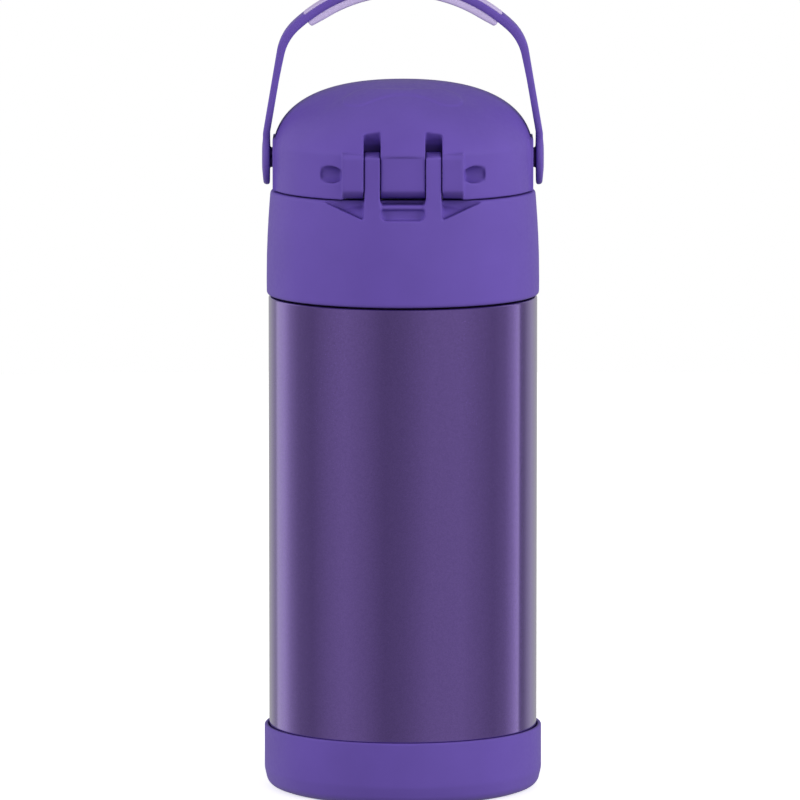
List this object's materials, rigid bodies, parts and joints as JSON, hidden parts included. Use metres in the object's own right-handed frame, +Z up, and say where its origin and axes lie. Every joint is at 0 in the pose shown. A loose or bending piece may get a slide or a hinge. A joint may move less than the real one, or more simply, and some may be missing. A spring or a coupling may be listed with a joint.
{
  "type": "kids water bottle",
  "caption": "Insulated steel straw bottle for children with a screw-on cap, push-button flip-up lid, folding spout, base boot and swinging carry handle.",
  "frame": {"origin": "centre of the foot ring, on the surface the bottle stands on", "axes": "+Z up along the bottle's axis, -Y towards the lid's hinge, +Y towards the push button, +X to the right seen from the hinge side"},
  "size_m": [0.0718, 0.0714, 0.2091],
  "materials": {
    "painted_steel": "metallic purple lacquer, satin gloss",
    "bare_steel": "bare stainless steel",
    "foil": "bright copper foil",
    "boot_plastic": "moulded matte purple",
    "purple_plastic": "moulded satin purple",
    "inner_plastic": "moulded satin purple",
    "straw_plastic": "translucent white",
    "silicone": "translucent silicone",
    "grip_rubber": "soft lavender overmould"
  },
  "bodies": {
    "bottle": {"outer_shell": "painted_steel", "outer_bottom": "bare_steel", "vacuum_seal_plug": "bare_steel", "getter": "bare_steel", "inner_liner": "bare_steel", "radiation_foil": "foil", "base_boot": "boot_plastic"},
    "straw_body": {"straw": "straw_plastic"},
    "seal_body": {"lid_seal": "silicone"},
    "cap": {"collar": "purple_plastic", "stopper_insert": "inner_plastic", "mouthpiece": "silicone", "vent_valve": "silicone", "hinge_pin": "bare_steel"},
    "spout_body": {"spout": "silicone"},
    "button_body": {"button": "purple_plastic", "button_spring": "bare_steel"},
    "lid": {"flip_lid": "purple_plastic", "lid_spring": "bare_steel"},
    "handle": {"handle_band": "purple_plastic", "handle_grip": "grip_rubber", "handle_inlay": "grip_rubber"}
  },
  "joints": [
    {"name": "cap_lift_off", "type": "slide", "parent": "bottle", "child": "straw_body", "axis": [0, 0, 1], "range_m": [0, 0.15]},
    {"name": "cap_rise", "type": "slide", "parent": "straw_body", "child": "seal_body", "axis": [0, 0, 1], "range_m": [0, 0.005]},
    {"name": "cap_turn", "type": "hinge", "parent": "seal_body", "child": "cap", "pos_m": [0, 0, 0.14], "axis": [0, 0, 1], "range_deg": [0, 450]},
    {"name": "spout_fold", "type": "hinge", "parent": "cap", "child": "spout_body", "pos_m": [0, 0, 0.1568], "axis": [1, 0, 0], "range_deg": [0, 60]},
    {"name": "button_press", "type": "slide", "parent": "cap", "child": "button_body", "axis": [0, -1, 0], "range_m": [0, 0.002], "stiffness_N_per_m": 500},
    {"name": "lid_hinge", "type": "hinge", "parent": "cap", "child": "lid", "pos_m": [0, -0.0283, 0.1612], "axis": [1, 0, 0], "range_deg": [0, 115]},
    {"name": "handle_swing", "type": "hinge", "parent": "lid", "child": "handle", "pos_m": [0, 0, 0.163], "axis": [1, 0, 0], "range_deg": [-95, 60]}
  ],
  "couplings": [
    {"joint": "cap_rise", "follows": "cap_turn", "m_per_rad": 0.00063662},
    {"joint": "spout_fold", "follows": "lid_hinge", "ratio": 0.5217}
  ]
}
